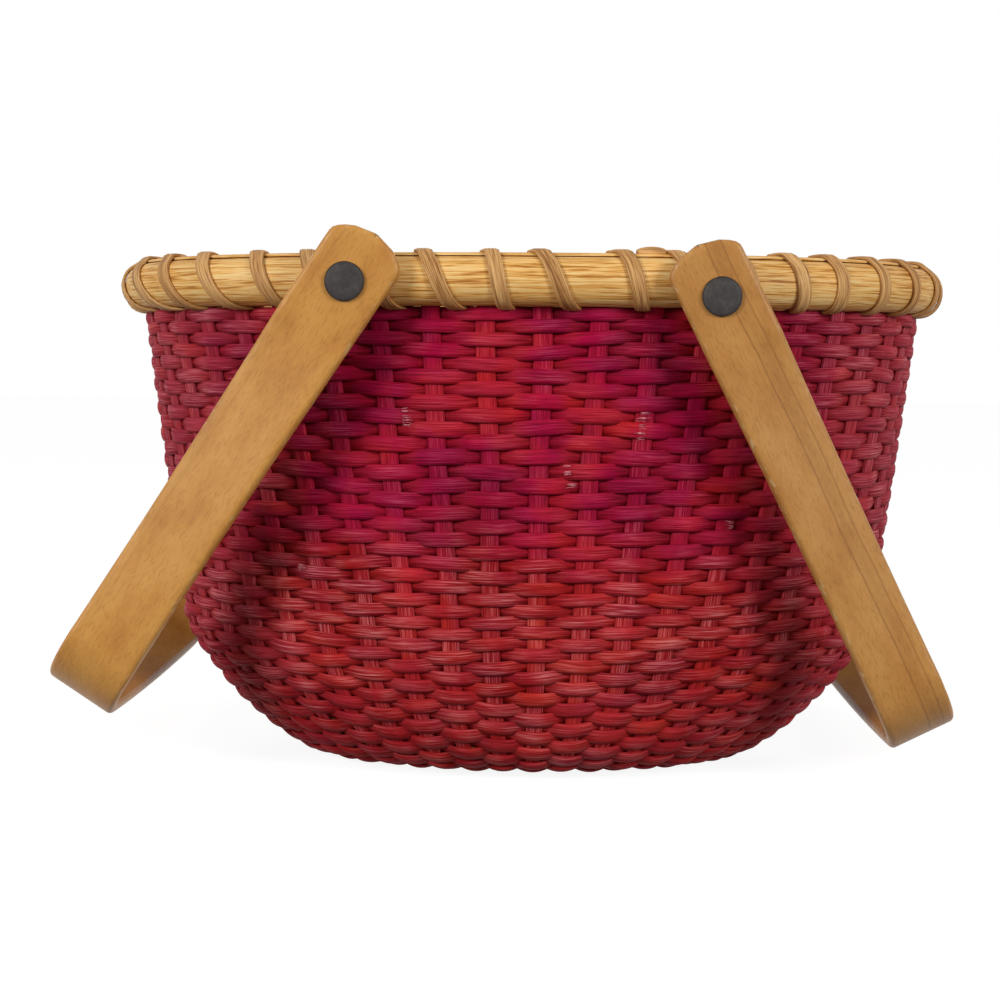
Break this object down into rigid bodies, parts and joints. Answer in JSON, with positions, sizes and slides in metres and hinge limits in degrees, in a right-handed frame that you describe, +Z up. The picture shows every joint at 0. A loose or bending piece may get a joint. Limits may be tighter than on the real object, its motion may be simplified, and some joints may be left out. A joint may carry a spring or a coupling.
{
  "type": "nantucket basket",
  "caption": "Oval woven carry basket on a wooden base plate, with a lashed half-round rim and a pair of flat bent-wood swing handles riveted through the rim.",
  "frame": {"origin": "middle of the underside of the wooden base plate, on the surface that the basket stands on", "axes": "+X along the basket's length towards the right-hand handle, -Y the front in the picture, +Z up"},
  "size_m": [0.3251, 0.2176, 0.1933],
  "materials": {
    "maple_plate": "satin varnish",
    "dyed_reed": "dyed matt reed",
    "rim_reed": "satin",
    "flat_cane": "satin",
    "bent_wood": "satin varnish",
    "rivet_metal": "matt, darkened"
  },
  "bodies": {
    "basket": {"base_plate": "maple_plate", "woven_wall": "dyed_reed", "outer_rim": "rim_reed", "inner_rim": "rim_reed", "rim_cap": "rim_reed", "front_lashing": "flat_cane", "back_lashing": "flat_cane", "left_front_spacer": "bent_wood", "left_back_spacer": "bent_wood", "right_front_spacer": "bent_wood", "right_back_spacer": "bent_wood", "left_front_rivet": "rivet_metal", "left_back_rivet": "rivet_metal", "right_front_rivet": "rivet_metal", "right_back_rivet": "rivet_metal", "left_front_burr": "rivet_metal", "left_back_burr": "rivet_metal", "right_front_burr": "rivet_metal", "right_back_burr": "rivet_metal"},
    "left_handle": {"left_handle": "bent_wood"},
    "right_handle": {"right_handle": "bent_wood"}
  },
  "joints": [
    {"name": "left_handle_swing", "type": "hinge", "parent": "basket", "child": "left_handle", "pos_m": [-0.0606, 0, 0.1746], "axis": [0, 1, 0], "range_deg": [-15, 164.7]},
    {"name": "right_handle_swing", "type": "hinge", "parent": "basket", "child": "right_handle", "pos_m": [0.0634, 0, 0.1705], "axis": [0, -1, 0], "range_deg": [-8, 171.9]}
  ]
}
